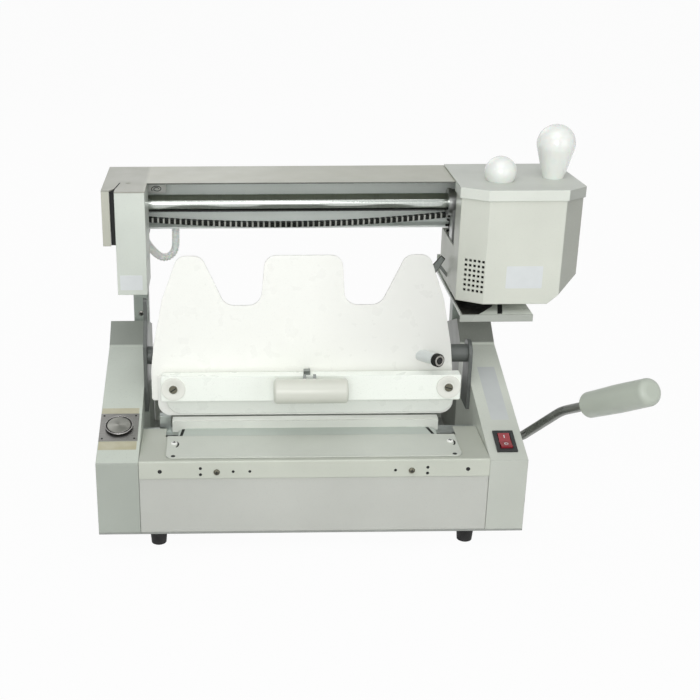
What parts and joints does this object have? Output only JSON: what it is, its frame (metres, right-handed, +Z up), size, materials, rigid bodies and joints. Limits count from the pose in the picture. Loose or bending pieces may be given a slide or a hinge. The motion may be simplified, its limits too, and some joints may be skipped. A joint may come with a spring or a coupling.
{
  "type": "perfect binding machine",
  "caption": "Table-top perfect binder: page clamp with a cam handle, sliding glue box on a beam, spine nip worked by a side lever.",
  "frame": {"origin": "middle of the outline in plan, on the surface that the rubber feet stand on", "axes": "+X to the operator's right, +Y to the back of the machine, +Z up"},
  "size_m": [0.5556, 0.3484, 0.4119],
  "materials": {
    "body_paint": "satin",
    "base_paint": "satin",
    "white_paint": "satin",
    "zinc_steel": "satin",
    "ground_steel": "polished",
    "dark_steel": "satin",
    "bronze": "satin",
    "alloy": "brushed",
    "black_plastic": "matt",
    "red_plastic": "glossy",
    "white_plastic": "glossy",
    "cream_plastic": "glossy",
    "hose_plastic": "satin",
    "rubber": "matt",
    "lid_paint": "satin",
    "roller_steel": "satin"
  },
  "bodies": {
    "frame": {"base_plate": "base_paint", "rubber_feet": "rubber", "left_housing": "body_paint", "right_housing": "body_paint", "dial_plate": "alloy", "thermostat_body": "black_plastic", "switch_bezel": "black_plastic", "power_inlet": "black_plastic", "front_panel": "body_paint", "table_top": "body_paint", "rear_panel": "body_paint", "press_bed": "alloy", "rear_nip_jaw": "white_paint", "nip_brackets": "zinc_steel", "lever_bushes": "bronze", "pivot_blocks": "zinc_steel", "left_post": "zinc_steel", "right_post": "zinc_steel", "column_cover": "body_paint", "beam_channel": "zinc_steel", "beam_cover": "body_paint", "guide_shaft": "ground_steel", "shaft_blocks": "alloy", "drive_chain": "zinc_steel", "chain_anchors": "zinc_steel", "heater_hose": "hose_plastic", "hose_glands": "zinc_steel", "drip_tray": "body_paint", "frame_screws": "ground_steel"},
    "press_lever": {"lever_shaft": "ground_steel", "lever_cranks": "zinc_steel", "lever_rod": "ground_steel", "lever_grip": "cream_plastic"},
    "nip": {"front_nip_plate": "white_paint", "nip_slide_arms": "zinc_steel", "nip_plate_screws": "ground_steel"},
    "clamp": {"clamp_plate": "white_paint", "rear_jaw": "white_paint", "clamp_arms": "white_paint", "clamp_pivot_shafts": "zinc_steel", "jaw_rod_bushes": "bronze", "lock_screw_sleeve": "ground_steel"},
    "lock_screw": {"lock_screw_head": "dark_steel"},
    "jaw": {"jaw_bar": "white_paint", "jaw_guide_rods": "ground_steel", "jaw_discs": "white_plastic", "handle_bracket": "zinc_steel"},
    "cam": {"cam_lever": "zinc_steel", "handle_grip": "cream_plastic"},
    "carriage": {"glue_box": "body_paint", "carriage_bearing": "alloy", "glue_pot": "dark_steel"},
    "lid": {"glue_box_lid": "lid_paint", "lid_ball_knob": "white_plastic", "lid_egg_knob": "white_plastic"},
    "roller": {"glue_roller": "roller_steel"},
    "wheel": {"chain_wheel": "zinc_steel"},
    "dial": {"thermostat_knob": "alloy"},
    "rocker": {"rocker_switch": "red_plastic"}
  },
  "joints": [
    {"name": "carriage_slide", "type": "slide", "parent": "frame", "child": "carriage", "axis": [-1, 0, 0], "range_m": [0, 0.33], "deforming": ["drive_chain"]},
    {"name": "lid_lift", "type": "slide", "parent": "carriage", "child": "lid", "axis": [0, 0, 1], "range_m": [0, 0.1]},
    {"name": "roller_spin", "type": "hinge", "parent": "carriage", "child": "roller", "pos_m": [0.12718, 0.07517, 0.2325], "axis": [0, 1, 0], "range_deg": [-1455, 0]},
    {"name": "wheel_spin", "type": "hinge", "parent": "carriage", "child": "wheel", "pos_m": [0.12644, 0.11517, 0.28926], "axis": [0, 1, 0], "range_deg": [0, 1326]},
    {"name": "clamp_flip", "type": "hinge", "parent": "frame", "child": "clamp", "pos_m": [-0.05182, 0.02517, 0.167], "axis": [-1, 0, 0], "range_deg": [0, 180]},
    {"name": "lock_screw_turn", "type": "hinge", "parent": "clamp", "child": "lock_screw", "pos_m": [0.06868, -0.02183, 0.1834], "axis": [0.4963, -0.8596, 0.1219], "range_deg": [0, 300]},
    {"name": "jaw_slide", "type": "slide", "parent": "clamp", "child": "jaw", "axis": [0, -1, 0], "range_m": [0, 0.045]},
    {"name": "cam_turn", "type": "hinge", "parent": "jaw", "child": "cam", "pos_m": [-0.05382, -0.04513, 0.162], "axis": [-1, 0, 0], "range_deg": [0, 75]},
    {"name": "press_lever_turn", "type": "hinge", "parent": "frame", "child": "press_lever", "pos_m": [-0.05182, -0.02483, 0.087], "axis": [1, 0, 0], "range_deg": [0, 45]},
    {"name": "nip_slide", "type": "slide", "parent": "frame", "child": "nip", "axis": [0, 1, 0], "range_m": [0, 0.0251]},
    {"name": "rocker_tilt", "type": "hinge", "parent": "frame", "child": "rocker", "pos_m": [0.15038, -0.08242, 0.10879], "axis": [1, 0, 0], "range_deg": [-5, 5]},
    {"name": "thermostat_turn", "type": "hinge", "parent": "frame", "child": "dial", "pos_m": [-0.25712, -0.05524, 0.11652], "axis": [0, -0.2735, 0.9619], "range_deg": [0, 300]}
  ],
  "couplings": [
    {"joint": "roller_spin", "follows": "carriage_slide", "rad_per_m": -76.923},
    {"joint": "wheel_spin", "follows": "carriage_slide", "rad_per_m": 70.085},
    {"joint": "nip_slide", "follows": "press_lever_turn", "m_per_rad": 0.031831}
  ]
}
